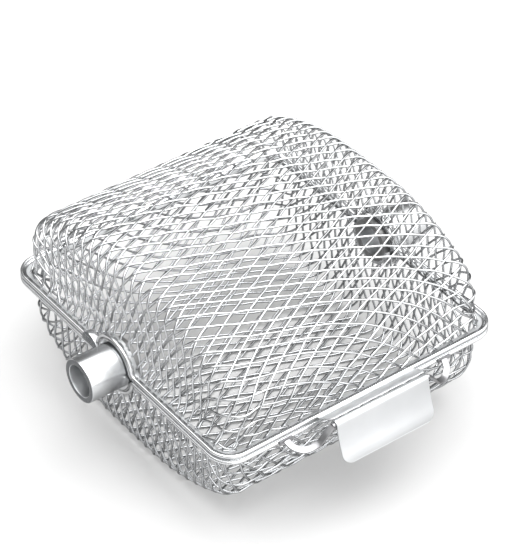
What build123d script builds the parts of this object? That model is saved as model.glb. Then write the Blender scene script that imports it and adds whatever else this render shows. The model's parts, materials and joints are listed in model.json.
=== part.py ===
from build123d import *
import math
import os

os.makedirs("parts", exist_ok=True)

# Rotisserie grill basket, closed.
# X = spit axis, -Y = latch side, +Y = hinge side, Z = up.
# Origin: on the spit axis, halfway along the basket, in the parting plane of the two rims.

# ---------------- driving dimensions (mm) ----------------
RIM_X = 250.0          # rim, outside, along the spit
RIM_Y = 272.0          # rim, outside, latch side to hinge side
RIM_R = 19.0           # outside corner radius of the rim
BEAD_W = 4.6           # width of the rolled bead
BEAD_TOP = 4.6         # height of each bead above the parting plane
BEAD_FILLET = 1.5
PART_GAP = 0.1         # each bead stops this far from the parting plane
BORDER_Z = 1.5         # clamping band between bead and wire cloth
BORDER_T = 1.2

SHELL_X = 115.0        # half length of the wire shell
SHELL_Y = 130.5        # half depth of the wire shell
SHELL_TOP = 82.0       # height of the wire shell above the parting plane
SHELL_FLAT = 20.0      # half width of the flat strip the basket stands on
TOP_R = 185.0          # long arch
SHOULDER_R = 42.0      # shoulder between arch and front / back wall
END_R = 15.4           # rounding between arch and end wall
SHELL_T = 2.6          # two crossing wires
SHELL_BASE = 0.4

ARCH_OUT = 24.2        # half-round bridge of the rim over the collar
ARCH_IN = 19.7
SHELL_CUT_X = 90.0     # the opening for the collar is cut from here outwards through a shell
RIM_CUT_X = 110.0      # and from here outwards through rim and clamping band
CUT_LEN = 40.0
HALF_Y = 80.0          # block that trims a round section to its upper or lower half
HALF_Z = 40.0

COLLAR_R = 17.5        # spit collar
BORE_R = 12.7
COLLAR_IN = 112.0
COLLAR_OUT = 154.5
COLLAR_CHAMFER = 0.5

LUG_R = 10.0           # half-round lug beside the left bridge
LUG_Y = 29.0
LUG_T = 1.4
LUG_BASE = 0.3

BAR_Y = -153.0         # centre bar of the strap, axis of the finger plate
BAR_Z = 7.4
BAR_R = 1.7
BAR_HALF = 43.5
STRAP_W = 5.2
STRAP_T = 1.6
STRAP_BENDS = [
    (69.5, -143.0, -6.0),
    (63.0, -148.0, -8.2),
    (54.5, -151.3, -4.8),
    (49.0, -152.7, 2.0),
]
FOOT_X = 72.0
FOOT_Z = -2.5
FOOT_W = 11.0
FOOT_T = 1.4
FOOT_H = 3.2

SLEEVE_R = 3.2
SLEEVE_BORE = 1.78
PLATE_HALF = 41.5
PLATE_LEN = 33.0
PLATE_T = 1.4
PLATE_TILT = 18.0      # degrees, lower edge leaning outwards
PLATE_CORNER = 8.0

TONGUE_HALF = 43.0
TONGUE_T = 1.4
TONGUE_FOOT_Z = 2.9    # upper face where it leaves the rim
TONGUE_BEND_OUT = 3.0  # how far outside the rim it starts to rise
TONGUE_BEND_Z = 5.2
TONGUE_TIP_Y = -149.6
TONGUE_TIP_Z = 11.2
TONGUE_TIP_CUT = 0.4

HINGE_X = 65.0
PIN_Y = 140.7
PIN_R = 1.5
KNUCKLE_R = 3.2
LEAF_HALF = 13.0
LEAF_T = 1.2
MID_HALF = 4.9
KNUCKLE_GAP = 0.3
PIN_FIT = 0.03         # pin in the lower knuckles
PIN_PLAY = 0.08        # pin in the upper knuckle, which turns
LEAF_H = 3.9
LEAF_Z = 2.35
WEB_T = 2.8            # web between leaf and knuckle
WEB_Z = 1.8
HEAD_R = 2.4
HEAD_T = 0.8
HEAD_GAP = 0.1


def arch_solid(half_x, half_y, top, top_r, shoulder_r, end_r, base):
    """Arched block: the arch runs front to back, its end edges are rounded."""
    yc = half_y - shoulder_r
    zc = top - top_r + math.sqrt((top_r - shoulder_r) ** 2 - (yc - SHELL_FLAT) ** 2)
    uy = (yc - SHELL_FLAT) / (top_r - shoulder_r)
    uz = (zc - (top - top_r)) / (top_r - shoulder_r)
    ty = SHELL_FLAT + top_r * uy
    tz = top - top_r + top_r * uz
    mid = (math.atan2(uy, uz)) / 2
    my = SHELL_FLAT + top_r * math.sin(mid)
    mz = top - top_r + top_r * math.cos(mid)
    a1 = math.atan2(uz, uy) / 2
    sy = yc + shoulder_r * math.cos(a1)
    sz = zc + shoulder_r * math.sin(a1)
    with BuildPart() as block:
        with BuildSketch(Plane.YZ.offset(-half_x)):
            with BuildLine():
                Line((-half_y, base), (half_y, base))
                Line((half_y, base), (half_y, zc))
                ThreePointArc((half_y, zc), (sy, sz), (ty, tz))
                ThreePointArc((ty, tz), (my, mz), (SHELL_FLAT, top))
                Line((SHELL_FLAT, top), (-SHELL_FLAT, top))
                ThreePointArc((-SHELL_FLAT, top), (-my, mz), (-ty, tz))
                ThreePointArc((-ty, tz), (-sy, sz), (-half_y, zc))
                Line((-half_y, zc), (-half_y, base))
            make_face()
        extrude(amount=2 * half_x)
        ends = block.faces().sort_by(Axis.X)
        rim_edges = ends[0].edges() + ends[-1].edges()
        arch_edges = [e for e in rim_edges if e.center().Z > base + 0.01]
        fillet(arch_edges, radius=end_r)
    return block.part


outer_block = arch_solid(SHELL_X, SHELL_Y, SHELL_TOP, TOP_R, SHOULDER_R, END_R, SHELL_BASE)
inner_block = arch_solid(
    SHELL_X - SHELL_T, SHELL_Y - SHELL_T, SHELL_TOP - SHELL_T,
    TOP_R - SHELL_T, SHOULDER_R - SHELL_T, END_R - SHELL_T, SHELL_BASE,
)

# ---------------- wire shells ----------------
with BuildPart() as upper_mesh:
    add(outer_block)
    add(inner_block, mode=Mode.SUBTRACT)
    for side in (-1, 1):
        with BuildSketch(Plane.YZ.offset(side * SHELL_CUT_X)):
            Circle(ARCH_IN)
        extrude(amount=side * CUT_LEN, mode=Mode.SUBTRACT)

with BuildPart() as lower_mesh:
    mirror(upper_mesh.part, about=Plane.XY)

# ---------------- rims ----------------
with BuildPart() as upper_rim:
    with BuildSketch(Plane.XY.offset(PART_GAP)):
        RectangleRounded(RIM_X, RIM_Y, RIM_R)
        RectangleRounded(RIM_X - 2 * BEAD_W, RIM_Y - 2 * BEAD_W, RIM_R - BEAD_W, mode=Mode.SUBTRACT)
    extrude(amount=BEAD_TOP - PART_GAP)
    fillet(upper_rim.faces().sort_by(Axis.Z)[-1].edges(), radius=BEAD_FILLET)
    for side in (-1, 1):
        with BuildSketch(Plane.YZ.offset(side * (RIM_X / 2 - BEAD_W))):
            Circle(ARCH_OUT)
            with Locations((0, PART_GAP - HALF_Z / 2)):
                Rectangle(HALF_Y, HALF_Z, mode=Mode.SUBTRACT)
        extrude(amount=side * BEAD_W)
        with BuildSketch(Plane.YZ.offset(side * RIM_CUT_X)):
            Circle(ARCH_IN)
        extrude(amount=side * CUT_LEN, mode=Mode.SUBTRACT)

with BuildPart() as lower_rim:
    mirror(upper_rim.part, about=Plane.XY)

borders = []
for end in (-1, 1):
    with BuildPart() as border:
        with BuildSketch(Plane.XY.offset(BORDER_Z)):
            RectangleRounded(RIM_X - 2 * BEAD_W, RIM_Y - 2 * BEAD_W, RIM_R - BEAD_W)
            RectangleRounded(2 * SHELL_X, 2 * SHELL_Y, END_R, mode=Mode.SUBTRACT)
            with Locations((0, -end * RIM_Y / 2)):
                Rectangle(RIM_X, RIM_Y, mode=Mode.SUBTRACT)
        extrude(amount=BORDER_T)
        for side in (-1, 1):
            with BuildSketch(Plane.YZ.offset(side * RIM_CUT_X)):
                Circle(ARCH_IN)
            extrude(amount=side * CUT_LEN, mode=Mode.SUBTRACT)
    borders.append(border)
    with BuildPart() as border_below:
        mirror(border.part, about=Plane.XY)
    borders.append(border_below)

# ---------------- half-round lug on the upper rim ----------------
with BuildPart() as rim_lug:
    with BuildSketch(Plane.YZ.offset(-RIM_X / 2)):
        with Locations((LUG_Y, LUG_BASE)):
            Circle(LUG_R)
        with Locations((LUG_Y, LUG_BASE - HALF_Z / 2)):
            Rectangle(HALF_Y, HALF_Z, mode=Mode.SUBTRACT)
    extrude(amount=-LUG_T)
    with BuildSketch(Plane.YZ.offset(-RIM_X / 2)):
        with Locations((LUG_Y, LUG_BASE)):
            Circle(LUG_R)
        with Locations((LUG_Y, BEAD_TOP - HALF_Z / 2)):
            Rectangle(HALF_Y, HALF_Z, mode=Mode.SUBTRACT)
        Circle(ARCH_OUT, mode=Mode.SUBTRACT)
    extrude(amount=BEAD_W)

# ---------------- spit collars and their saddles ----------------
collars = []
saddles = []
for side in (-1, 1):
    with BuildPart() as collar:
        with BuildSketch(Plane.YZ.offset(side * COLLAR_IN)):
            Circle(COLLAR_R)
            Circle(BORE_R, mode=Mode.SUBTRACT)
        extrude(amount=side * (COLLAR_OUT - COLLAR_IN))
        end_face = collar.faces().sort_by(Axis.X)[0 if side < 0 else -1]
        chamfer(end_face.edges(), length=COLLAR_CHAMFER)
    collars.append(collar)
    with BuildPart() as saddle:
        with BuildSketch(Plane.YZ.offset(side * (SHELL_X - SHELL_T))):
            Circle(ARCH_IN)
            Circle(COLLAR_R, mode=Mode.SUBTRACT)
            with Locations((0, HALF_Z / 2 - PART_GAP)):
                Rectangle(HALF_Y, HALF_Z, mode=Mode.SUBTRACT)
        extrude(amount=side * (RIM_X / 2 - SHELL_X + SHELL_T))
    saddles.append(saddle)
left_collar = collars[0]
right_collar = collars[1]
left_saddle = saddles[0]
right_saddle = saddles[1]

# ---------------- latch strap and its feet ----------------
with BuildPart() as latch_strap:
    with BuildLine() as leg_path:
        Spline(
            (FOOT_X, -RIM_Y / 2 - STRAP_T, FOOT_Z),
            *STRAP_BENDS,
            (BAR_HALF, BAR_Y, BAR_Z),
            tangents=[(0, -1, -0.25), (-1, 0, 0.12)],
        )
    with BuildSketch(Plane(origin=leg_path.line @ 0, x_dir=(1, 0, 0), z_dir=leg_path.line % 0)):
        Rectangle(STRAP_W, STRAP_T)
    sweep()
    mirror(about=Plane.YZ)
    with BuildSketch(Plane(origin=(-BAR_HALF, BAR_Y, BAR_Z), z_dir=(1, 0, 0))):
        Circle(BAR_R)
    extrude(amount=2 * BAR_HALF)

feet = []
for side in (-1, 1):
    with BuildPart() as foot:
        with Locations((side * FOOT_X, -(RIM_Y + FOOT_T) / 2, FOOT_Z)):
            Box(FOOT_W, FOOT_T, FOOT_H)
    feet.append(foot)
left_foot = feet[0]
right_foot = feet[1]

# ---------------- finger plate and its rolled sleeve ----------------
tilt = math.radians(PLATE_TILT)
plate_plane = Plane(
    origin=(0, BAR_Y, BAR_Z),
    x_dir=(1, 0, 0),
    z_dir=(0, -math.cos(tilt), math.sin(tilt)),
)
with BuildPart() as latch_sleeve:
    with BuildSketch(Plane(origin=(-PLATE_HALF, BAR_Y, BAR_Z), z_dir=(1, 0, 0))):
        Circle(SLEEVE_R)
        Circle(SLEEVE_BORE, mode=Mode.SUBTRACT)
    extrude(amount=2 * PLATE_HALF)

with BuildPart() as latch_plate:
    with BuildSketch(plate_plane.offset(SLEEVE_R - PLATE_T)):
        with Locations((0, -PLATE_LEN / 2)):
            Rectangle(2 * PLATE_HALF, PLATE_LEN)
    extrude(amount=PLATE_T)
    low_edges = latch_plate.edges().filter_by(
        lambda e: abs(e.length - PLATE_T) < 1e-3 and e.center().Z < BAR_Z - 20
    )
    fillet(low_edges, radius=PLATE_CORNER)
    with BuildSketch(Plane(origin=(-PLATE_HALF - 1, BAR_Y, BAR_Z), z_dir=(1, 0, 0))):
        Circle(SLEEVE_R)
    extrude(amount=2 * PLATE_HALF + 2, mode=Mode.SUBTRACT)

# ---------------- tongue on the upper rim ----------------
with BuildPart() as latch_tongue:
    with BuildSketch(Plane.YZ.offset(-TONGUE_HALF)):
        with BuildLine():
            Polyline(
                (-RIM_Y / 2, TONGUE_FOOT_Z - TONGUE_T),
                (-RIM_Y / 2, TONGUE_FOOT_Z),
                (-RIM_Y / 2 - TONGUE_BEND_OUT, TONGUE_BEND_Z),
                (TONGUE_TIP_Y, TONGUE_TIP_Z),
                (TONGUE_TIP_Y + TONGUE_TIP_CUT, TONGUE_TIP_Z - TONGUE_T),
                (-RIM_Y / 2 - TONGUE_BEND_OUT, TONGUE_BEND_Z - TONGUE_T),
                close=True,
            )
        make_face()
    extrude(amount=2 * TONGUE_HALF)

# ---------------- hinges ----------------
upper_leaves = []
lower_leaves = []
pins = []
for side in (-1, 1):
    xc = side * HINGE_X
    with BuildPart() as lower_leaf:
        with Locations((xc, RIM_Y / 2 + LEAF_T / 2, -LEAF_Z)):
            Box(2 * LEAF_HALF, LEAF_T, LEAF_H)
        for end in (-1, 1):
            x0 = xc + end * (MID_HALF + KNUCKLE_GAP)
            with BuildSketch(Plane.YZ.offset(x0)):
                with Locations((PIN_Y, 0)):
                    Circle(KNUCKLE_R)
                with Locations(((RIM_Y / 2 + PIN_Y) / 2, -WEB_Z)):
                    Rectangle(PIN_Y - RIM_Y / 2, WEB_T)
                with Locations((PIN_Y, 0)):
                    Circle(PIN_R + PIN_FIT, mode=Mode.SUBTRACT)
            extrude(amount=end * (LEAF_HALF - MID_HALF - KNUCKLE_GAP))
    lower_leaves.append(lower_leaf)
    with BuildPart() as upper_leaf:
        with Locations((xc, RIM_Y / 2 + LEAF_T / 2, LEAF_Z)):
            Box(2 * LEAF_HALF, LEAF_T, LEAF_H)
        with BuildSketch(Plane.YZ.offset(xc - MID_HALF)):
            with Locations((PIN_Y, 0)):
                Circle(KNUCKLE_R)
            with Locations(((RIM_Y / 2 + PIN_Y) / 2, WEB_Z)):
                Rectangle(PIN_Y - RIM_Y / 2, WEB_T)
            with Locations((PIN_Y, 0)):
                Circle(PIN_R + PIN_PLAY, mode=Mode.SUBTRACT)
        extrude(amount=2 * MID_HALF)
    upper_leaves.append(upper_leaf)
    with BuildPart() as pin:
        pin_half = LEAF_HALF + HEAD_GAP + HEAD_T
        with BuildSketch(Plane.YZ.offset(xc - pin_half)):
            with Locations((PIN_Y, 0)):
                Circle(PIN_R)
        extrude(amount=2 * pin_half)
        for end in (-1, 1):
            with BuildSketch(Plane.YZ.offset(xc + end * (LEAF_HALF + HEAD_GAP))):
                with Locations((PIN_Y, 0)):
                    Circle(HEAD_R)
            extrude(amount=end * HEAD_T)
    pins.append(pin)

# ---------------- one file per piece ----------------
pieces = {
    "upper_mesh": upper_mesh,
    "upper_rim": upper_rim,
    "upper_border_front": borders[0],
    "upper_border_back": borders[2],
    "rim_lug": rim_lug,
    "latch_tongue": latch_tongue,
    "left_hinge_upper_leaf": upper_leaves[0],
    "right_hinge_upper_leaf": upper_leaves[1],
    "lower_mesh": lower_mesh,
    "lower_rim": lower_rim,
    "lower_border_front": borders[1],
    "lower_border_back": borders[3],
    "left_collar": left_collar,
    "right_collar": right_collar,
    "left_saddle": left_saddle,
    "right_saddle": right_saddle,
    "latch_strap": latch_strap,
    "left_strap_foot": left_foot,
    "right_strap_foot": right_foot,
    "left_hinge_lower_leaf": lower_leaves[0],
    "right_hinge_lower_leaf": lower_leaves[1],
    "left_hinge_pin": pins[0],
    "right_hinge_pin": pins[1],
    "latch_plate": latch_plate,
    "latch_sleeve": latch_sleeve,
}
for name, piece in pieces.items():
    piece.part.label = name
    export_step(piece.part, f"parts/{name}.step")
    box = piece.part.bounding_box()
    print(name, round(piece.part.volume, 1), len(piece.part.solids()),
          [round(v, 1) for v in (*tuple(box.min), *tuple(box.max))])
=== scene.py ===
import json
import math

import bmesh
import bpy
import numpy as np
from mathutils import Matrix, Vector


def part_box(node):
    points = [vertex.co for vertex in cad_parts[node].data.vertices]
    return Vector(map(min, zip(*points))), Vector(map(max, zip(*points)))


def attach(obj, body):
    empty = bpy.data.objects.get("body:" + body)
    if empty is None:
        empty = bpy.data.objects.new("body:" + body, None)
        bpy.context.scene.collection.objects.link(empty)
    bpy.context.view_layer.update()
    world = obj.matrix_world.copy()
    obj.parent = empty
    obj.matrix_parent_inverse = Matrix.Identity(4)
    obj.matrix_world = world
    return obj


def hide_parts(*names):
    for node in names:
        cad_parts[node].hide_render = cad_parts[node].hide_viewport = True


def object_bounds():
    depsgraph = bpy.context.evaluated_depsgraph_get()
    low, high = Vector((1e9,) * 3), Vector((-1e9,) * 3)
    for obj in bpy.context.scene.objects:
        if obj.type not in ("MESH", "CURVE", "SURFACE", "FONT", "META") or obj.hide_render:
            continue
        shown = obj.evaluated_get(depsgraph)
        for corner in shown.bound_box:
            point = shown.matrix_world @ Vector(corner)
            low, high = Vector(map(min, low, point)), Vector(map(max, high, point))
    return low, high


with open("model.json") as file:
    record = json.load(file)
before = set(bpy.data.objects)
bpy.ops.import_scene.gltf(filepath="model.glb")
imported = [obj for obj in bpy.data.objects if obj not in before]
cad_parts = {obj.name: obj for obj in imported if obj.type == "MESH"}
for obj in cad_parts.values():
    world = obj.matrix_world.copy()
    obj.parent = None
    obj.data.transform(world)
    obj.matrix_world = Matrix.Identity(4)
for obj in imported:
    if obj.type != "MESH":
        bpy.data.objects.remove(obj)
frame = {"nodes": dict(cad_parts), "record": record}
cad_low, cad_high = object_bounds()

# A rotisserie grill basket, closed. X is the spit axis, -Y the latch side, +Z up, metres.

# ---------------- places taken from the CAD frame ----------------
_, shell_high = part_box("upper_mesh")
rim_low, rim_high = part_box("upper_rim")
collar_low, collar_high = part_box("right_collar")
_, plate_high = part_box("latch_plate")
sleeve_low, sleeve_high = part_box("latch_sleeve")
_, tongue_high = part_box("latch_tongue")
foot_low, foot_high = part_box("right_strap_foot")
lug_low, lug_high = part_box("rim_lug")
spit_bore = next(mount for mount in frame["record"]["mounts"] if mount["name"] == "spit_bore")
BORE_R = spit_bore["dims"]["r_mm"] / 1000
RIM_FRONT = rim_low.y
FLOOR_Z = cad_low.z
TINY = 1e-9                          # keeps divisions away from nought
SHARP = math.radians(35)             # edges sharper than this are kept crisp
LATHE_SIDES = 128
NODE_EDGE = 0.00025                  # rounding of the CAD nodes that stay
NODE_SHARP = math.radians(50)        # their edges sharper than this are rounded
END_FACING = 0.85                    # faces whose normal's X is past this look along the spit

# ---------------- shape of the shells ----------------
SKIN = 0.0015                        # the cloth's middle lies this far inside the CAD shell's outer face
SHELL_X = shell_high.x - SKIN
SHELL_Y = shell_high.y - SKIN
TOP = shell_high.z - SKIN
FLAT = 0.020                         # half width of the strip that the basket stands on
ARCH_R = 0.185 - SKIN
SHOULDER_R = 0.042 - SKIN
END_R = 0.0154 - SKIN
SHOULDER_Y = SHELL_Y - SHOULDER_R
ARCH_Z = TOP - ARCH_R
ARCH_TURN = math.asin((SHOULDER_Y - FLAT) / (ARCH_R - SHOULDER_R))
SHOULDER_Z = ARCH_Z + (ARCH_R - SHOULDER_R) * math.cos(ARCH_TURN)

# ---------------- wire cloth ----------------
WIRE_R = 0.00088
WIRE_SIDES = 8
WIRE_STEPS = 6                       # tube rings from one crossing to the next
WIRE_END = 0.0009                    # the wires stop this far above the parting line
SHORTEST_RUN = 4                     # crossings; shorter runs at the net's corners are left out
SHORTEST_STRETCH = 3                 # tube rings; shorter stretches are left out
WEAVE = 0.00042                      # a wire's swing off the cloth's middle: flattened at the crossings
CELL_X = 0.0231                      # diamond, along the spit
CELL_TOP = 0.0103                    # diamond, across the spit, on the arch
CELL_WALL = 0.0130                   # the same where the cloth is drawn down the front and back walls
DRAWN_FROM = 0.095                   # distance from the top line at which the cells start to widen
DRAWN_OVER = 0.050                   # and the distance over which they do
NET_SPARE_X = 0.075                  # how far the flat net reaches past the shell's half length and height
NET_SPARE_Y = 0.035                  # the same across the spit
FAN_X, FAN_Y = 0.055, 0.060          # corner of the middle field, from which the net fans out
WALK_STEPS = 80
SLIP_ROUNDS = 700
SIDE_PULL = 0.90                     # how much of the error in a cell's side each round takes away
DIAGONAL_PULL = 0.06
STRAIGHTENING = 0.06
WANDER = 0.00016                     # spread of the small random moves of the crossings
FLARE = 0.0052                       # how far the end walls spread outwards at their foot
FLARE_HEIGHT = 0.014

# ---------------- rims ----------------
BEAD_HALF = 0.0023
BEAD_X = rim_high.x - BEAD_HALF      # middle line of the rolled bead
BEAD_Y = rim_high.y - BEAD_HALF
BEAD_CORNER = 0.019 - BEAD_HALF
NOTCH_R = 0.0198                     # parting line over the collar
BEND_R = 0.0065                      # where the bead turns up into the bridge
BEND_Y = math.sqrt((NOTCH_R + BEND_R) ** 2 - BEND_R ** 2)
BEND_TURN = math.atan2(BEND_Y, BEND_R)
BORDER_LAP = 0.0001                  # the flange reaches this far into the bead
BORDER_LOW, BORDER_HIGH = 0.0005, 0.0016
BORDER_INNER = -0.0012               # its inner edge, outwards from the foot of the cloth
BORDER_INNER_HIGH = 0.0014
BORDER_NOSE = (-0.0015, 0.0010)      # the edge's middle: outwards from the same foot, up

# ---------------- lug ----------------
LUG_INSET = 0.00005                  # the visible lug stays this far inside the CAD lug's radius
LUG_FACE = 0.0004                    # its outer face, inwards from the CAD lug's
LUG_BACK = 0.0050
LUG_EDGE = 0.0004                    # reach of the rounding of its edges
LUG_SOFT = 0.00012                   # depth of the rounding's middle point
LUG_HUB = 0.0006                     # the faces start this far from the middle of the half circle
RIB_RISES = (0.0020, 0.0042, 0.0064)
RIB_HALF = 0.00036
RIB_THICK_HALF = 0.00034
RIB_EDGE = 0.0003
RIB_STOP = 0.0008                    # the ribs end this far short of the lug's edge

# ---------------- collars ----------------
COLLAR_EDGE = 0.0006                 # rounding of the tube's ends
INNER_SHADE_END = 0.1180                  # the tube is painted darker from its inner end to here, as painted shade
INNER_SHADE_RINGS = (INNER_SHADE_END - 0.0020, INNER_SHADE_END - 0.0010, INNER_SHADE_END)
BORE_SIDE = BORE_R + 0.0003          # faces whose middle is nearer to the axis than this line the bore

# ---------------- latch ----------------
SHEET = 0.0013                       # sheet metal of the finger plate
BAR_Y = (sleeve_low.y + sleeve_high.y) / 2
BAR_Z = (sleeve_low.z + sleeve_high.z) / 2
ROLL_R = (sleeve_high.z - sleeve_low.z) / 2
ROLL_START = 292                     # degrees of the roll round the bar
ROLL_STEP = 8
BAR_R = 0.0017
BAR_HALF = 0.0436
BAR_STUB = 0.0001                    # the bar stands out past the middle of the strap's end
PLATE_TILT = math.radians(18)
PLATE_LEN = 0.033
PLATE_CORNER = 0.008
PLATE_BOW = 0.0012
PLATE_EDGE = 0.00045
PLATE_TIP_NARROWING = 0.0006
PLATE_TIP_INSET = 0.00005
TONGUE_PATH = [                      # (outwards from the rim's front, up from the parting plane)
    (-0.0010, 0.0024), (0.0008, 0.0029), (0.0026, 0.0041), (0.0040, 0.0052),
    (0.0070, 0.0070), (0.0105, 0.0090), (0.0145, 0.0110)]
TONGUE_THICK_HALF = 0.00065
TONGUE_TIP_THICK_HALF = 0.00035
TONGUE_TAPER = (0.0002, 0.0006, 0.0013, 0.0024)
TONGUE_EDGE = 0.0004
STRAP_HALF = 0.0026
STRAP_THICK = 0.0016
STRAP_EDGE = 0.00035
STRAP_START = 0.0008                 # outwards from the rim's front, in the middle of the foot
STRAP_BENDS = [                      # (along the spit, outwards from the rim's front, up)
    (0.0695, 0.0070, -0.0060), (0.0630, 0.0120, -0.0082),
    (0.0545, 0.0153, -0.0048), (0.0490, 0.0167, 0.0020)]

# ---------------- floor, light and camera ----------------
FLOOR_HALF = 12.0
FLOOR_TINT = 0.50
# direction, cosines at which the light starts and is full, radiance
OVERHEAD = ((-0.06, 0.02, 1.00), (0.66, 0.92), 4.0)
WINDOW = ((0.42, -0.75, 0.52), (0.40, 0.78), 2.1)
SURROUND = 0.22
CAMERA_AZIMUTH = math.radians(-36.45)
CAMERA_ELEVATION = math.radians(40.16)
CAMERA_ROLL = math.radians(-0.42)
CAMERA_DISTANCE = 2.0706
CAMERA_SENSOR = 36.0                 # millimetres
CAMERA_LENS = 184.3                  # millimetres
AIM_RIGHT, AIM_UP = 0.00281, 0.00922  # the picture's middle against the spit axis' middle, as slopes


# =====================================================================================
# mesh helpers
# =====================================================================================
def add_piece(name, verts, faces, material, slot, body, replaces=(), tidy=True):
    """Makes a mesh object on its body; tidy joins doubled points and keeps sharp edges crisp."""
    mesh = bpy.data.meshes.new(name)
    mesh.from_pydata([tuple(v) for v in verts], [], [tuple(f) for f in faces])
    mesh.update()
    if tidy:
        work = bmesh.new()
        work.from_mesh(mesh)
        bmesh.ops.remove_doubles(work, verts=work.verts, dist=1e-7)
        bmesh.ops.recalc_face_normals(work, faces=work.faces)
        for edge in work.edges:
            if len(edge.link_faces) == 2:
                edge.smooth = edge.calc_face_angle() < SHARP
        work.to_mesh(mesh)
        work.free()
    mesh.polygons.foreach_set("use_smooth", [True] * len(mesh.polygons))
    mesh.materials.append(material)
    piece = bpy.data.objects.new(name, mesh)
    bpy.context.scene.collection.objects.link(piece)
    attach(piece, body)
    if replaces:
        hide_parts(*replaces)
    return piece


def paint(piece, material, chosen):
    """Gives a second material to the faces for which chosen(centre, normal) holds."""
    piece.data.materials.append(material)
    for face in piece.data.polygons:
        if chosen(face.center, face.normal):
            face.material_index = len(piece.data.materials) - 1


def loft(rings, round_section=True, caps=False):
    """Skins closed rings of equal length. round_section joins the last ring to the first."""
    count = len(rings[0])
    verts = np.vstack(rings)
    faces = []
    last = len(rings) if round_section else len(rings) - 1
    for k in range(last):
        a, b = k * count, ((k + 1) % len(rings)) * count
        for i in range(count):
            n = (i + 1) % count
            faces.append((a + i, a + n, b + n, b + i))
    if caps:
        faces.append(tuple(range(count))[::-1])
        faces.append(tuple(range((len(rings) - 1) * count, len(rings) * count)))
    return verts, faces


def joined(*parts):
    """Several (verts, faces) as one."""
    verts, faces, start = [], [], 0
    for part_verts, part_faces in parts:
        verts.append(np.asarray(part_verts, float))
        faces += [tuple(i + start for i in f) for f in part_faces]
        start += len(part_verts)
    return np.vstack(verts), faces


def mirrored(part, axis):
    """(verts, faces) reflected, with the faces turned back the right way round."""
    verts, faces = part
    flip = np.ones(3)
    flip[axis] = -1
    return np.asarray(verts) * flip, [tuple(reversed(f)) for f in faces]


def unit(v):
    return v / np.maximum(np.linalg.norm(v, axis=-1, keepdims=True), TINY)


def smooth_path(points, per_span):
    """Catmull-Rom curve through the points, with its ends extended straight."""
    p = np.asarray(points, float)
    p = np.vstack([2 * p[0] - p[1], p, 2 * p[-1] - p[-2]])
    t = (np.arange(per_span) / per_span)[:, None]
    out = []
    for k in range(1, len(p) - 2):
        a, b, c, d = p[k - 1], p[k], p[k + 1], p[k + 2]
        out.append(0.5 * (2 * b + (c - a) * t + (2 * a - 5 * b + 4 * c - d) * t ** 2
                          + (3 * b - a - 3 * c + d) * t ** 3))
    out.append(p[-2][None])
    return np.vstack(out)


def strip(path, across, half_width, half_thick, edge):
    """A flat bar or sheet that follows a path: a rounded-rectangle section, `across` wide."""
    path = np.asarray(path, float)
    count = len(path)
    tangent = unit(np.gradient(path, axis=0))
    across = np.broadcast_to(np.asarray(across, float), path.shape)
    across = unit(across - (across * tangent).sum(1, keepdims=True) * tangent)
    normal = np.cross(tangent, across)
    half_width = np.broadcast_to(half_width, count)
    half_thick = np.broadcast_to(half_thick, count)
    rings = []
    for k in range(count):
        w, t = half_width[k], half_thick[k]
        e = min(edge, t, w)
        ring = []
        for q in range(4):
            cw = (w - e) * (1 if q in (0, 3) else -1)
            ct = (t - e) * (1 if q in (0, 1) else -1)
            for a in np.radians(np.linspace(90 * q + 4, 90 * q + 86, 4)):
                sideways = across[k] * (cw + e * math.cos(a))
                ring.append(path[k] + sideways + normal[k] * (ct + e * math.sin(a)))
        rings.append(np.array(ring))
    return loft(rings, round_section=False, caps=True)


def lathe(profile):
    """Turns a closed (x, radius) profile about the X axis."""
    angle = np.linspace(0, 2 * math.pi, LATHE_SIDES, endpoint=False)
    rings = [np.stack([np.full(LATHE_SIDES, x), r * np.cos(angle), r * np.sin(angle)], 1)
             for x, r in profile]
    return loft(rings)


# =====================================================================================
# materials
# =====================================================================================
CLOUDING = 0.06          # how far the tint drifts to either side, as a share of it
CLOUD_SCALE = 45.0
MARK_CONTRAST = (0.3, 0.7)
# facing values over which the painted edge shade comes in
EDGE_SHADE_FADE = (0.20, 0.80)
BUMP_HEIGHT = 0.0001


def add_node(tree, kind, attributes=(), values=(), sources=()):
    """A new shader node, with its attributes, its inputs' values and the outputs that feed its inputs."""
    added = tree.nodes.new(kind)
    for name, value in dict(attributes).items():
        setattr(added, name, value)
    for name, value in dict(values).items():
        added.inputs[name].default_value = value
    for name, source in dict(sources).items():
        tree.links.new(source, added.inputs[name])
    return added


def fine_marks(tree, place, grain):
    """Noise stretched to the grain of the fine marks."""
    stretch = add_node(tree, "ShaderNodeMapping", values={"Scale": grain}, sources={"Vector": place})
    marks = add_node(tree, "ShaderNodeTexNoise", values={"Scale": 1.0, "Detail": 3.0},
                     sources={"Vector": stretch.outputs["Vector"]})
    return marks.outputs["Fac"]


def uneven_polish(tree, marks, rough, spread):
    """Roughness that follows the fine marks."""
    low, high = MARK_CONTRAST
    polish = add_node(tree, "ShaderNodeMapRange",
                      values={"From Min": low, "From Max": high,
                              "To Min": rough - spread, "To Max": rough + spread},
                      sources={"Value": marks})
    return polish.outputs["Result"]


def cloudy_tint(tree, place, tint):
    """The tint, drifting in soft clouds."""
    cloud = add_node(tree, "ShaderNodeTexNoise", values={"Scale": CLOUD_SCALE, "Detail": 2.0},
                     sources={"Vector": place})
    colour = add_node(tree, "ShaderNodeMix", {"data_type": "RGBA"},
                      {"A": (*[c * (1 - CLOUDING) for c in tint], 1),
                       "B": (*[min(c * (1 + CLOUDING), 1) for c in tint], 1)},
                      {"Factor": cloud.outputs["Fac"]})
    return colour.outputs["Result"]


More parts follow.
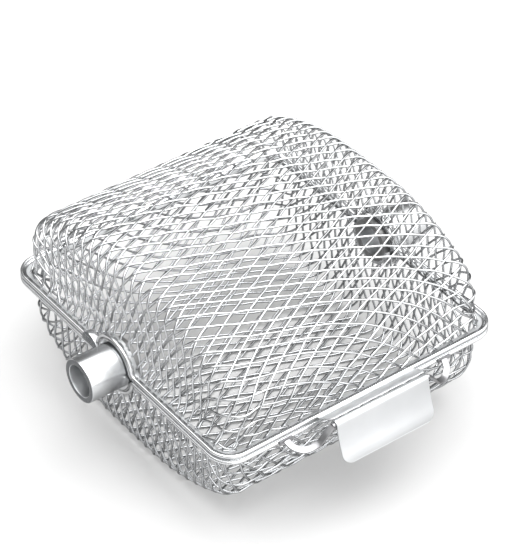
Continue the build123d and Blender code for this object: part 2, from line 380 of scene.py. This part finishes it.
def painted_edge_shade(tree, colour, tint, edge):
    """Painted shade: fades a colour to `edge` times the tint where the surface turns away from the viewer,
    darkening the edges of each piece.
    """
    turned = add_node(tree, "ShaderNodeLayerWeight", values={"Blend": 0.5})
    fade = add_node(tree, "ShaderNodeMapRange", {"interpolation_type": "SMOOTHSTEP"},
                    {"From Min": EDGE_SHADE_FADE[0], "From Max": EDGE_SHADE_FADE[1]},
                    {"Value": turned.outputs["Facing"]})
    faded = add_node(tree, "ShaderNodeMix", {"data_type": "RGBA"},
                     {"B": (*[c * edge for c in tint], 1)},
                     {"Factor": fade.outputs["Result"], "A": colour})
    return faded.outputs["Result"]


def steel(name, tint, rough, spread, grain, bump, edge=1.0):
    """Stainless steel. grain = (x, y, z) frequencies of the fine marks, per metre; spread = how far they
    change the roughness; bump = how strongly they stand out; edge = the share of the tint left in the
    painted shade where the surface turns away from the viewer."""
    material = bpy.data.materials.new(name)
    material.use_nodes = True
    tree = material.node_tree
    shader = tree.nodes["Principled BSDF"]
    shader.inputs["Metallic"].default_value = 1.0
    place = add_node(tree, "ShaderNodeTexCoord").outputs["Object"]
    marks = fine_marks(tree, place, grain)
    # painted shade: the colour darkens where the surface turns away from the viewer
    colour = painted_edge_shade(tree, cloudy_tint(tree, place, tint), tint, edge)
    relief = add_node(tree, "ShaderNodeBump", values={"Strength": bump, "Distance": BUMP_HEIGHT},
                      sources={"Height": marks})
    tree.links.new(uneven_polish(tree, marks, rough, spread), shader.inputs["Roughness"])
    tree.links.new(colour, shader.inputs["Base Color"])
    tree.links.new(relief.outputs["Normal"], shader.inputs["Normal"])
    return material


# tint, roughness and its spread, grain, bump, edge (the share of the tint left in the painted edge shade)
upper_wire_steel = steel("upper_wire_steel", (0.58, 0.59, 0.60), 0.17, 0.05, (900, 900, 900), 0.08, 0.16)
# the lower cloth's steel is darker than the upper's: painted shade
lower_wire_shaded_steel = steel("lower_wire_shaded_steel", (0.46, 0.47, 0.48), 0.17, 0.05, (900, 900, 900), 0.08, 0.22)
rim_steel = steel("rim_steel", (0.74, 0.75, 0.76), 0.22, 0.04, (300, 300, 1500), 0.02, 0.40)
border_steel = steel("border_steel", (0.66, 0.67, 0.68), 0.50, 0.06, (500, 500, 500), 0.04, 0.60)
collar_steel = steel("collar_steel", (0.66, 0.67, 0.68), 0.24, 0.03, (2200, 240, 240), 0.02, 0.50)
bore_steel = steel("bore_steel", (0.62, 0.63, 0.64), 0.35, 0.06, (2200, 240, 240), 0.06)
# near-black steel for faces that look along the spit: painted shade
painted_shade_steel = steel("painted_shade_steel", (0.09, 0.095, 0.10), 0.32, 0.08, (700, 700, 700), 0.15)
# darker steel for the inner end of each collar: painted shade
inner_painted_shade_steel = steel("inner_painted_shade_steel", (0.22, 0.22, 0.22), 0.45, 0.10, (400, 400, 400), 0.10)
# the lug's ribs: painted shade, lighter than the lug's face so they show as light lines
rib_painted_shade_steel = steel("rib_painted_shade_steel", (0.26, 0.27, 0.28), 0.25, 0.08, (700, 700, 700), 0.08)
plate_steel = steel("plate_steel", (0.64, 0.65, 0.66), 0.34, 0.04, (120, 1800, 1800), 0.03, 0.50)
tongue_steel = steel("tongue_steel", (0.84, 0.85, 0.86), 0.36, 0.05, (150, 1600, 1600), 0.05)
strap_steel = steel("strap_steel", (0.40, 0.40, 0.41), 0.40, 0.05, (600, 600, 600), 0.05, 0.35)
hinge_steel = steel("hinge_steel", (0.50, 0.51, 0.52), 0.30, 0.08, (400, 1200, 1200), 0.15)


# =====================================================================================
# wire cloth
# =====================================================================================
def off_core(p):
    """How far points lie outside the shell's core, and the direction that leads away from it.

    The core is the arch profile drawn in by END_R and cut off END_R short of the end walls, so the
    cloth's middle surface is everything at a distance of END_R from it."""
    a, z = np.abs(p[:, 1]), p[:, 2]
    side = np.where(p[:, 1] < 0, -1.0, 1.0)
    out_y, out_z = a - SHOULDER_Y, z - SHOULDER_Z
    arch_y, arch_z = a - FLAT, z - ARCH_Z
    shoulder_len = np.maximum(np.hypot(out_y, out_z), TINY)
    arch_len = np.maximum(np.hypot(arch_y, arch_z), TINY)
    wall = z <= SHOULDER_Z
    shoulder = ~wall & (out_y * math.cos(ARCH_TURN) > out_z * math.sin(ARCH_TURN))
    arch = ~wall & ~shoulder & (a > FLAT)
    where = [wall, shoulder, arch]
    d = np.select(where, [a - (SHELL_Y - END_R), shoulder_len - (SHOULDER_R - END_R),
                          arch_len - (ARCH_R - END_R)], z - (TOP - END_R))
    ny = np.select(where, [np.ones_like(a), out_y / shoulder_len, arch_y / arch_len], 0.0) * side
    nz = np.select(where, [np.zeros_like(a), out_z / shoulder_len, arch_z / arch_len], 1.0)
    past = np.abs(p[:, 0]) - (SHELL_X - END_R)
    beyond = past > 0
    vector = np.stack([np.sign(p[:, 0]) * past, np.maximum(d, 0) * ny, np.maximum(d, 0) * nz], 1)
    length = np.linalg.norm(vector, axis=1)
    flat_normal = np.stack([np.zeros_like(a), ny, nz], 1)
    normal = np.where(beyond[:, None], vector / np.maximum(length, TINY)[:, None], flat_normal)
    return np.where(beyond, length, d), normal


def on_cloth(p):
    """The nearest points of the cloth's middle surface, and its normals there."""
    d, normal = off_core(p)
    return p + (END_R - d)[:, None] * normal, normal


def walk(p, heading, length):
    """Moves each point over the surface in the upright plane of its heading, for its own length."""
    plane = np.stack([-heading[:, 1], heading[:, 0], np.zeros(len(p))], 1)
    for _ in range(WALK_STEPS):
        _, normal = on_cloth(p)
        p, _ = on_cloth(p + unit(np.cross(plane, normal)) * (length / WALK_STEPS)[:, None])
    return p


def net_rows(reach):
    """Distances of the net's rows from the top line, up to reach."""
    rows = [0.0]
    while rows[-1] < reach:
        drawn = min(max((rows[-1] - DRAWN_FROM) / DRAWN_OVER, 0.0), 1.0)
        rows.append(rows[-1] + (CELL_TOP + (CELL_WALL - CELL_TOP) * drawn) / 2)
    return rows


def flat_net(phase_x, phase_y):
    """The crossings (i, j) of a flat net of diamonds, and their places u along the spit and v across it."""
    rows = net_rows(SHELL_Y + TOP + NET_SPARE_Y)
    top_i = int((SHELL_X + TOP + NET_SPARE_X) / (CELL_X / 2))
    top_j = len(rows) - 1
    keys = [(i, j) for i in range(-top_i, top_i + 1) for j in range(-top_j, top_j + 1)
            if (i + j) % 2 == 0]
    u = np.array([i * CELL_X / 2 + phase_x for i, j in keys])
    v = np.array([math.copysign(rows[abs(j)], j) + phase_y for i, j in keys])
    return keys, u, v


def laid_on(u, v):
    """The flat net's crossings on the shell: a middle field laid straight, the rest fanned out from it."""
    inner_u = np.clip(u, -FAN_X, FAN_X)
    inner_v = np.clip(v, -FAN_Y, FAN_Y)
    start, _ = on_cloth(np.stack([inner_u, np.zeros_like(u), np.full_like(u, TOP)], 1))
    heading = np.stack([np.zeros_like(u), np.where(inner_v < 0, -1.0, 1.0)], 1)
    p = walk(start, heading, np.abs(inner_v))
    rest = np.stack([u - inner_u, v - inner_v], 1)
    distance = np.linalg.norm(rest, axis=1)
    heading = np.where(distance[:, None] > TINY, rest / np.maximum(distance, TINY)[:, None], (1.0, 0.0))
    return walk(p, heading, distance)


def ties(keys, u, v, steps):
    """Each crossing's neighbours at the given steps: their numbers, whether they are there, and their
    distances in the flat net."""
    index = {key: n for n, key in enumerate(keys)}
    near = np.array([[index.get((i + di, j + dj), -1) for di, dj in steps] for i, j in keys])
    there = near >= 0
    near = np.where(there, near, 0)
    length = np.hypot(u[near] - u[:, None], v[near] - v[:, None])
    return near, there, length


def pull(p, near, there, length):
    """The mean move that brings each crossing to the right distances from its neighbours."""
    gap = p[near] - p[:, None]
    now = np.maximum(np.linalg.norm(gap, axis=2), TINY)
    moves = np.where(there, (now - length) / now, 0.0)[..., None] * gap
    return moves.sum(1) / np.maximum(there.sum(1), 1)[:, None]


def drape(phase_x, phase_y, seed):
    """The crossing points of the wires, as {(i, j): point}: the flat net is laid on the shell and then let
    slip until the sides of its cells have their own length again."""
    keys, u, v = flat_net(phase_x, phase_y)
    p = laid_on(u, v)
    sides = ties(keys, u, v, [(1, 1), (-1, -1), (1, -1), (-1, 1)])
    diagonals = ties(keys, u, v, [(2, 0), (-2, 0), (0, 2), (0, -2)])
    surrounded = sides[1].all(1)[:, None]
    for _ in range(SLIP_ROUNDS):
        move = SIDE_PULL * pull(p, *sides) + DIAGONAL_PULL * pull(p, *diagonals)
        straight = np.where(surrounded, p[sides[0]].mean(1) - p, 0.0)
        p, _ = on_cloth(p + move + STRAIGHTENING * straight)
    p, _ = on_cloth(p + np.random.default_rng(seed).normal(0, WANDER, p.shape))
    return dict(zip(keys, p))


def above_edge(p):
    """Height above the parting line, which climbs round the collar on the two end walls."""
    a, z = np.abs(p[:, 1]), p[:, 2]
    in_bend = (a < BEND_Y) & (z * BEND_Y < a * BEND_R)
    near_collar = (a < BEND_Y) & ~in_bend
    round_collar = np.select(
        [in_bend, near_collar],
        [BEND_R - np.hypot(a - BEND_Y, z - BEND_R), np.hypot(a, z) - NOTCH_R], z)
    return np.where(np.abs(p[:, 0]) > SHELL_X - END_R, round_collar, z)


def wire_tube(path, normal):
    """A closed round wire along a path, with the cloth's normals to keep its rings from turning."""
    tangent = unit(np.gradient(path, axis=0))
    across = unit(np.cross(tangent, normal))
    lift = np.cross(across, tangent)
    turn = np.linspace(0, 2 * math.pi, WIRE_SIDES, endpoint=False)
    ring = np.cos(turn)[None, :, None] * across[:, None] + np.sin(turn)[None, :, None] * lift[:, None]
    verts = (path[:, None] + WIRE_R * ring).reshape(-1, 3)
    k = np.arange(len(path) - 1)[:, None] * WIRE_SIDES
    i = np.arange(WIRE_SIDES)[None]
    n = (i + 1) % WIRE_SIDES
    quads = np.stack([k + i, k + n, k + n + WIRE_SIDES, k + i + WIRE_SIDES], -1).reshape(-1, 4)
    faces = [tuple(q) for q in quads.tolist()]
    last = (len(path) - 1) * WIRE_SIDES
    faces.append(tuple(range(WIRE_SIDES))[::-1])
    faces.append(tuple(range(last, last + WIRE_SIDES)))
    return verts, faces


def net_wires(nodes, step):
    """(number of its first crossing, its crossing points) of each wire that runs by the given step."""
    wires = []
    starts = [key for key in nodes if (key[0] - step[0], key[1] - step[1]) not in nodes]
    for key in sorted(starts):
        first = key[0]
        run = []
        while key in nodes:
            run.append(nodes[key])
            key = (key[0] + step[0], key[1] + step[1])
        if len(run) >= SHORTEST_RUN:
            wires.append((first, run))
    return wires


def trimmed(path, normal, height, a, b):
    """The stretch a to b of a wire, lengthened to where its height is nought."""
    piece, up = path[a:b], normal[a:b]
    if a > 0:
        share = height[a] / (height[a] - height[a - 1])
        piece = np.vstack([path[a] + share * (path[a - 1] - path[a]), piece])
        up = np.vstack([normal[a], up])
    if b < len(path):
        share = height[b - 1] / (height[b - 1] - height[b])
        piece = np.vstack([piece, path[b - 1] + share * (path[b] - path[b - 1])])
        up = np.vstack([up, normal[b - 1]])
    return piece, up


def wire_stretches(first, run, family):
    """(path, normals) of every stretch of one wire that lies above the rim; the end walls are flared."""
    path, normal = on_cloth(smooth_path(run, WIRE_STEPS))
    phase = np.arange(len(path)) / WIRE_STEPS + first
    path = path + (family * WEAVE * np.cos(math.pi * phase))[:, None] * normal
    height = above_edge(path)
    spread = FLARE * np.clip(1 - height / FLARE_HEIGHT, 0, 1) ** 2
    path = path + spread[:, None] * normal * (1, 0, 0)
    height = height - WIRE_END
    keep = (height > 0).astype(int)
    ends = np.flatnonzero(np.diff(np.concatenate([[0], keep, [0]])))
    return [trimmed(path, normal, height, a, b) for a, b in zip(ends[::2], ends[1::2])
            if b - a >= SHORTEST_STRETCH]


def woven_cloth(phase_x, phase_y, seed):
    """All the wires of one shell, upper side up: two families, over and under each other in turn."""
    nodes = drape(phase_x, phase_y, seed)
    tubes = []
    for family, step in ((1, (1, 1)), (-1, (1, -1))):
        for first, run in net_wires(nodes, step):
            tubes += [wire_tube(*stretch) for stretch in wire_stretches(first, run, family)]
    return joined(*tubes)


upper_cloth = woven_cloth(0.0, 0.0, seed=11)
lower_cloth = mirrored(woven_cloth(0.004, 0.002, seed=12), 2)
add_piece("upper_wire_cloth", *upper_cloth, upper_wire_steel, "wire_cloth", "lid", ["upper_mesh"],
          tidy=False)
# the lower cloth gets the darker steel: painted shade
add_piece("lower_wire_cloth", *lower_cloth, lower_wire_shaded_steel, "wire_cloth", "basket", ["lower_mesh"],
          tidy=False)


# =====================================================================================
# rims
# =====================================================================================
def rim_ring(half_x, half_y, corner_x, corner_y, height):
    """A closed ring round the basket, `height` above the parting line: a rectangle with oval corners that
    climbs over each collar."""
    centre_x, centre_y = half_x - corner_x, half_y - corner_y
    quarter = [(x, -half_y, height) for x in np.linspace(0, centre_x, 12)]
    for a in np.radians(np.linspace(-90, 0, 21)[1:]):
        quarter.append((centre_x + corner_x * math.cos(a), -centre_y + corner_y * math.sin(a), height))
    quarter += [(half_x, y, height) for y in np.linspace(-centre_y, -BEND_Y, 12)[1:]]
    for b in np.linspace(0, BEND_TURN, 12)[1:]:
        r = BEND_R - height
        quarter.append((half_x, -BEND_Y + r * math.sin(b), BEND_R - r * math.cos(b)))
    for g in np.linspace(math.pi / 2 - BEND_TURN, math.pi / 2, 22)[1:]:
        r = NOTCH_R + height
        quarter.append((half_x, -r * math.cos(g), r * math.sin(g)))
    quarter = np.array(quarter)
    half = np.vstack([quarter, (quarter * (1, -1, 1))[-2::-1]])
    return np.vstack([half, (half * (-1, 1, 1))[-2:0:-1]])


def arc_points(centre, radius, start, end, count):
    """Points (outward, up) of an arc in a section."""
    return [(centre[0] + radius * math.cos(a), centre[1] + radius * math.sin(a))
            for a in np.radians(np.linspace(start, end, count))]


def bead_section():
    """Rolled bead, (outward, up) from its middle line: a lip at the parting line, a groove and the roll."""
    lip = [(0.00120, 0.00025), (0.00190, 0.00030), (0.00222, 0.00048), (0.00230, 0.00070),
           (0.00216, 0.00092), (0.00190, 0.00098), (0.00158, 0.00090), (0.00130, 0.00070),
           (0.00102, 0.00078), (0.00084, 0.00110)]
    roll = arc_points((0.00078, 0.00286), 0.00150, -84, 118, 18)
    inside = [(-0.00040, 0.00388), (-0.00085, 0.00345), (-0.00140, 0.00312), (-0.00205, 0.00296),
              (-0.00228, 0.00285), (-0.00230, 0.00260), (-0.00230, 0.00040), (-0.00205, 0.00015)]
    return lip + roll + inside


def bead_ring(out, up):
    """A ring `out` outwards and `up` upwards from the bead's middle line."""
    corner = BEAD_CORNER + out
    return rim_ring(BEAD_X + out, BEAD_Y + out, corner, corner, up)


def hem_ring(out, up):
    """The same from the foot of the cloth, its end walls flared."""
    return rim_ring(SHELL_X + FLARE + out, SHELL_Y + out, END_R + FLARE + out, END_R + out, up)


def rim_bead():
    return loft([bead_ring(o, u) for o, u in bead_section()])


def rim_border():
    """The flange inside the bead; the cloth's wires end in it."""
    outer = BORDER_LAP - BEAD_HALF
    return loft([bead_ring(outer, BORDER_LOW), bead_ring(outer, BORDER_HIGH),
                 hem_ring(BORDER_INNER, BORDER_INNER_HIGH), hem_ring(*BORDER_NOSE),
                 hem_ring(BORDER_INNER, BORDER_LOW)])


add_piece("upper_rim_bead", *rim_bead(), rim_steel, "rim_steel", "lid", ["upper_rim"])
add_piece("lower_rim_bead", *mirrored(rim_bead(), 2), rim_steel, "rim_steel", "basket", ["lower_rim"])
add_piece("upper_rim_border", *rim_border(), border_steel, "rim_steel", "lid",
          ["upper_border_front", "upper_border_back"])
add_piece("lower_rim_border", *mirrored(rim_border(), 2), border_steel, "rim_steel", "basket",
          ["lower_border_front", "lower_border_back"])


# =====================================================================================
# lug beside the left bridge
# =====================================================================================
LUG_R = (lug_high.y - lug_low.y) / 2 - LUG_INSET
LUG_Y = (lug_high.y + lug_low.y) / 2


def half_disc():
    """Half-round lug with slightly rounded edges, standing on the rim."""
    front = lug_low.x + LUG_FACE
    back = lug_low.x + LUG_BACK
    sweep = np.linspace(0, math.pi, 65)
    section = [(LUG_HUB, front), (LUG_R - LUG_EDGE, front), (LUG_R - LUG_SOFT, front + LUG_SOFT),
               (LUG_R, front + LUG_EDGE), (LUG_R, back - LUG_EDGE), (LUG_R - LUG_SOFT, back - LUG_SOFT),
               (LUG_R - LUG_EDGE, back), (LUG_HUB, back)]
    rings = [np.stack([np.full_like(sweep, x), LUG_Y + r * np.cos(sweep), lug_low.z + r * np.sin(sweep)], 1)
             for r, x in section]
    verts, faces = loft(rings)
    count = len(sweep)
    faces = [f for f in faces if f[0] % count != count - 1]
    first = [k * count for k in range(len(rings))]
    last = [k * count + count - 1 for k in range(len(rings))]
    return verts, faces + [tuple(first), tuple(reversed(last))]


def lug_ribs():
    """Three raised ribs along the lug's outer face."""
    ribs = []
    for rise in RIB_RISES:
        reach = math.sqrt(LUG_R ** 2 - rise ** 2) - RIB_STOP
        path = [(lug_low.x + LUG_FACE, LUG_Y + y, lug_low.z + rise) for y in np.linspace(-reach, reach, 12)]
        ribs.append(strip(path, (0, 0, 1), RIB_HALF, RIB_THICK_HALF, RIB_EDGE))
    return joined(*ribs)


lug = add_piece("half_round_lug", *half_disc(), rim_steel, "rim_steel", "lid", ["rim_lug"])
# painted shade: the lug's outer face near-black
paint(lug, painted_shade_steel, lambda centre, normal: normal.x < -END_FACING)
# painted shade on the ribs, lighter than on the face
add_piece("lug_ribs", *lug_ribs(), rib_painted_shade_steel, "rim_steel", "lid")


# =====================================================================================
# spit collars
# =====================================================================================
def collar():
    """A thick tube on the spit axis at +X, with rounded ends."""
    inner, outer = collar_low.x + COLLAR_EDGE, collar_high.x - COLLAR_EDGE
    radius, bore = collar_high.y - COLLAR_EDGE, BORE_R + COLLAR_EDGE
    profile = (arc_points((inner, bore), COLLAR_EDGE, 270, 180, 5)
               + arc_points((inner, radius), COLLAR_EDGE, 180, 90, 5)
               + [(x, collar_high.y) for x in INNER_SHADE_RINGS]
               + arc_points((outer, radius), COLLAR_EDGE, 90, 0, 5)
               + arc_points((outer, bore), COLLAR_EDGE, 0, -90, 5))
    return lathe(profile)


for side, tube in (("right", collar()), ("left", mirrored(collar(), 0))):
    piece = add_piece(f"{side}_spit_collar", *tube, collar_steel, "collar_steel", "basket",
                      [f"{side}_collar"])
    # painted shade: the tube's end faces near-black
    paint(piece, painted_shade_steel, lambda centre, normal: abs(normal.x) > END_FACING)
    paint(piece, bore_steel, lambda centre, normal: math.hypot(centre.y, centre.z) < BORE_SIDE)
    # painted shade: the tube darker at its inner end, inside the basket
    paint(piece, inner_painted_shade_steel, lambda centre, normal: abs(centre.x) < INNER_SHADE_END)


# =====================================================================================
# latch
# =====================================================================================
def tongue():
    """Polished tongue: up from the rim and out over the finger plate's roll."""
    path = smooth_path([(0.0, RIM_FRONT - out, up) for out, up in TONGUE_PATH], 4)
    width = np.full(len(path), tongue_high.x)
    width[-len(TONGUE_TAPER):] -= TONGUE_TAPER
    thick = np.full(len(path), TONGUE_THICK_HALF)
    thick[-1] = TONGUE_TIP_THICK_HALF
    return strip(path, (1, 0, 0), width, thick, TONGUE_EDGE)


def plate_runs():
    """Distances down the finger plate at which it gets a section, closer together in its round corners."""
    straight = PLATE_LEN - PLATE_CORNER
    corner = straight + PLATE_CORNER * np.sin(np.radians(np.arange(6, 91, 6)))
    corner[-1] -= PLATE_TIP_INSET
    return np.concatenate([np.linspace(0, straight, 14)[1:], corner])


def finger_plate():
    """One sheet: the plate hangs outwards and its top edge is rolled round the bar."""
    out = np.array([0.0, -math.cos(PLATE_TILT), math.sin(PLATE_TILT)])
    down = np.array([0.0, -math.sin(PLATE_TILT), -math.cos(PLATE_TILT)])
    bar = np.array([0.0, BAR_Y, BAR_Z])
    middle_r = ROLL_R - SHEET / 2
    turns = np.radians(np.arange(ROLL_START, -1, -ROLL_STEP))
    roll = [bar + middle_r * (math.cos(a) * out - math.sin(a) * down) for a in turns]
    runs = plate_runs()
    sheet = [roll[-1] + down * run - out * PLATE_BOW * math.sin(math.pi * run / PLATE_LEN) for run in runs]
    path = np.array(roll + sheet)
    width = np.full(len(path), plate_high.x)
    in_corner = np.maximum(runs - (PLATE_LEN - PLATE_CORNER), 0)
    width[len(roll):] += np.sqrt(PLATE_CORNER ** 2 - in_corner ** 2) - PLATE_CORNER
    width[-1] -= PLATE_TIP_NARROWING
    thick = np.full(len(path), SHEET / 2)
    thick[-1] = SHEET / 4
    return strip(path, (1, 0, 0), width, thick, PLATE_EDGE)


def strap_leg():
    """The right half of the strap: out of its foot, curling in and up to the end of the bar."""
    foot_x = (foot_low.x + foot_high.x) / 2
    foot_z = (foot_low.z + foot_high.z) / 2
    leg = ([(foot_x, RIM_FRONT - STRAP_START, foot_z)]
           + [(x, RIM_FRONT - out, up) for x, out, up in STRAP_BENDS]
           + [(BAR_HALF - BAR_STUB, BAR_Y, BAR_Z)])
    path = smooth_path(leg, 14)
    tangent = unit(np.gradient(path, axis=0))
    across = [np.array([1.0, 0.0, 0.0])]
    for k in range(1, len(path)):
        across.append(unit(across[-1] - (across[-1] @ tangent[k]) * tangent[k]))
    return strip(path, np.array(across), STRAP_HALF, STRAP_THICK / 2, STRAP_EDGE)


def latch_strap():
    """Both halves of the strap, and the bar that the finger plate turns on."""
    right = strap_leg()
    bar_path = [(x, BAR_Y, BAR_Z) for x in np.linspace(-BAR_HALF, BAR_HALF, 24)]
    bar = strip(bar_path, (0, 0, 1), BAR_R, BAR_R, BAR_R)
    return joined(right, mirrored(right, 0), bar)


add_piece("latch_tongue_sheet", *tongue(), tongue_steel, "latch_steel", "lid", ["latch_tongue"])
add_piece("finger_plate", *finger_plate(), plate_steel, "latch_steel", "latch",
          ["latch_plate", "latch_sleeve"])
add_piece("strap_and_bar", *latch_strap(), strap_steel, "latch_steel", "basket", ["latch_strap"])


# =====================================================================================
# CAD nodes that stay: better steel, and slightly rounded edges
# =====================================================================================
def finish_node(name, material):
    """Gives a CAD node its material and rounds its edges."""
    node = frame["nodes"][name]
    node.data.materials.clear()
    node.data.materials.append(material)
    rounding = node.modifiers.new("rounded_edges", "BEVEL")
    rounding.width = NODE_EDGE
    rounding.segments = 2
    rounding.limit_method = "ANGLE"
    rounding.angle_limit = NODE_SHARP


for side in ("left", "right"):
    finish_node(f"{side}_saddle", collar_steel)
    finish_node(f"{side}_strap_foot", strap_steel)
    for part in ("upper_leaf", "lower_leaf", "pin"):
        finish_node(f"{side}_hinge_{part}", hinge_steel)


# =====================================================================================
# floor, light and camera
# =====================================================================================
def pale_floor():
    """A plain matt floor under the basket."""
    corners = [(x * FLOOR_HALF, y * FLOOR_HALF, FLOOR_Z) for x, y in ((-1, -1), (1, -1), (1, 1), (-1, 1))]
    mesh = bpy.data.meshes.new("floor")
    mesh.from_pydata(corners, [], [(0, 1, 2, 3)])
    paper = bpy.data.materials.new("floor_paper")
    paper.use_nodes = True
    shader = paper.node_tree.nodes["Principled BSDF"]
    shader.inputs["Base Color"].default_value = (FLOOR_TINT, FLOOR_TINT, FLOOR_TINT, 1)
    shader.inputs["Roughness"].default_value = 0.9
    shader.inputs["Specular IOR Level"].default_value = 0.1
    mesh.materials.append(paper)
    floor = bpy.data.objects.new("floor", mesh)
    bpy.context.scene.collection.objects.link(floor)


def soft_cap(tree, place, direction, start, full, radiance):
    """The light of one broad soft cap of the sky about a direction."""
    toward = add_node(tree, "ShaderNodeVectorMath", {"operation": "DOT_PRODUCT"},
                      {1: Vector(direction).normalized()}, {0: place})
    glow = add_node(tree, "ShaderNodeMapRange", {"interpolation_type": "SMOOTHSTEP"},
                    {"From Min": start, "From Max": full, "To Max": radiance},
                    {"Value": toward.outputs["Value"]})
    return glow.outputs["Result"]


def studio_world():
    """Two broad soft lights, one overhead and one from the front right, in a dim surround."""
    world = bpy.data.worlds.new("studio")
    bpy.context.scene.world = world
    world.use_nodes = True
    tree = world.node_tree
    place = add_node(tree, "ShaderNodeTexCoord").outputs["Generated"]
    lights = [soft_cap(tree, place, direction, start, full, radiance)
              for direction, (start, full), radiance in (OVERHEAD, WINDOW)]
    both = add_node(tree, "ShaderNodeMath", sources={0: lights[0], 1: lights[1]})
    total = add_node(tree, "ShaderNodeMath", values={1: SURROUND}, sources={0: both.outputs["Value"]})
    background = tree.nodes["Background"]
    background.inputs["Color"].default_value = (1.0, 1.0, 1.0, 1)
    tree.links.new(total.outputs["Value"], background.inputs["Strength"])


def camera():
    """The photograph's camera, aimed a little off the middle of the spit axis."""
    data = bpy.data.cameras.new("camera")
    data.lens = CAMERA_LENS
    data.sensor_width = CAMERA_SENSOR
    back = Vector((math.sin(CAMERA_AZIMUTH) * math.cos(CAMERA_ELEVATION),
                   -math.cos(CAMERA_AZIMUTH) * math.cos(CAMERA_ELEVATION),
                   math.sin(CAMERA_ELEVATION)))
    right = Vector((math.cos(CAMERA_AZIMUTH), math.sin(CAMERA_AZIMUTH), 0))
    up = back.cross(right)
    across = right * math.cos(CAMERA_ROLL) + up * math.sin(CAMERA_ROLL)
    upward = up * math.cos(CAMERA_ROLL) - right * math.sin(CAMERA_ROLL)
    look = (-back + across * AIM_RIGHT + upward * AIM_UP).normalized()
    level = (across - look * across.dot(look)).normalized()
    body = bpy.data.objects.new("camera", data)
    body.location = back * CAMERA_DISTANCE
    body.rotation_mode = "QUATERNION"
    body.rotation_quaternion = Matrix((level, level.cross(look), -look)).transposed().to_quaternion()
    bpy.context.scene.collection.objects.link(body)
    bpy.context.scene.camera = body


pale_floor()
studio_world()
camera()
bpy.context.scene.view_settings.view_transform = "Standard"
